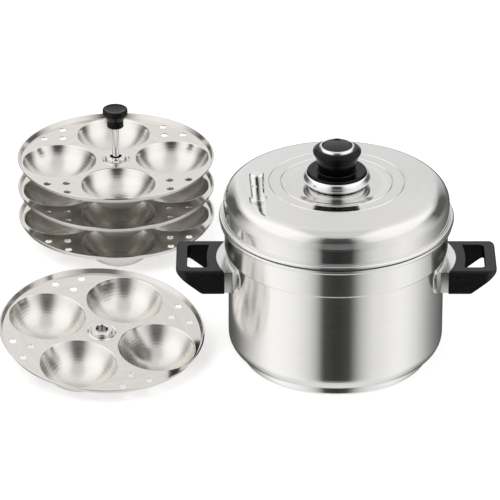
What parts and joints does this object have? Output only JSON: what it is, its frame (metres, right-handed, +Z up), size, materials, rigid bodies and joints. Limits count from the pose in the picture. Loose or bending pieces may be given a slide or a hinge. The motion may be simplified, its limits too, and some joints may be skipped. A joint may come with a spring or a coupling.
{
  "type": "idli steamer",
  "caption": "Lidded steel stockpot with black side handles and a steam vent, a stand of round plates with idli cups on a rod, and a loose plate beside it.",
  "frame": {"origin": "middle of the pot's base, on the table", "axes": "+Z up, +X to the pot's right handle, +Y to the back, where the stand of plates is"},
  "size_m": [0.4576, 0.4365, 0.2114],
  "materials": {
    "pot_steel": "satin, brushed round the pot",
    "lid_steel": "polished",
    "plate_steel": "polished with faint brushing",
    "hub_steel": "polished",
    "base_aluminium": "satin",
    "phenolic": "semi-matte",
    "cap_gloss": "gloss",
    "dish_chrome": "mirror",
    "trim_chrome": "mirror",
    "vent_chrome": "mirror",
    "rod_chrome": "mirror",
    "screw_chrome": "bright",
    "zinc_steel": "zinc plated",
    "insert_brass": "turned"
  },
  "bodies": {
    "pot": {"pot_shell": "pot_steel", "base_core": "base_aluminium", "base_cap": "pot_steel", "left_bracket": "pot_steel", "right_bracket": "pot_steel", "left_handle": "phenolic", "right_handle": "phenolic", "handle_screws": "screw_chrome", "handle_nuts": "zinc_steel"},
    "lid": {"lid_shell": "lid_steel", "knob_foot": "phenolic", "knob_dish": "dish_chrome", "knob_flange": "phenolic", "knob_grip": "phenolic", "knob_trim": "trim_chrome", "knob_cap": "cap_gloss", "knob_insert": "insert_brass", "knob_screw": "screw_chrome", "knob_washer": "zinc_steel", "vent_seat": "vent_chrome", "vent_pipe": "vent_chrome", "vent_nut": "zinc_steel"},
    "stand": {"stand_rod": "rod_chrome", "foot_nut": "screw_chrome", "bottom_plate": "plate_steel", "bottom_hub": "hub_steel"},
    "middle_tier": {"middle_plate": "plate_steel", "middle_hub": "hub_steel"},
    "top_tier": {"top_plate": "plate_steel", "top_hub": "hub_steel"},
    "rod_knob": {"stand_knob": "phenolic", "stand_insert": "insert_brass"},
    "loose_tier": {"loose_plate": "plate_steel", "loose_hub": "hub_steel"}
  },
  "joints": [
    {"name": "lid_lift", "type": "slide", "parent": "pot", "child": "lid", "axis": [0, 0, 1], "range_m": [0, 0.13]},
    {"name": "stand_lift", "type": "slide", "parent": "pot", "child": "stand", "axis": [0, 0, 1], "range_m": [0, 0.18]},
    {"name": "middle_tier_turn", "type": "hinge", "parent": "stand", "child": "middle_tier", "pos_m": [-0.209, 0.23, 0.05], "axis": [0, 0, 1], "continuous": true},
    {"name": "top_tier_lift", "type": "slide", "parent": "stand", "child": "top_tier", "axis": [0, 0, 1], "range_m": [0, 0.03]},
    {"name": "rod_knob_off", "type": "slide", "parent": "stand", "child": "rod_knob", "axis": [0, 0, 1], "range_m": [0, 0.03]},
    {"name": "loose_tier_lift", "type": "slide", "parent": "pot", "child": "loose_tier", "axis": [-0.7071, 0, 0.7071], "range_m": [0, 0.15]}
  ]
}
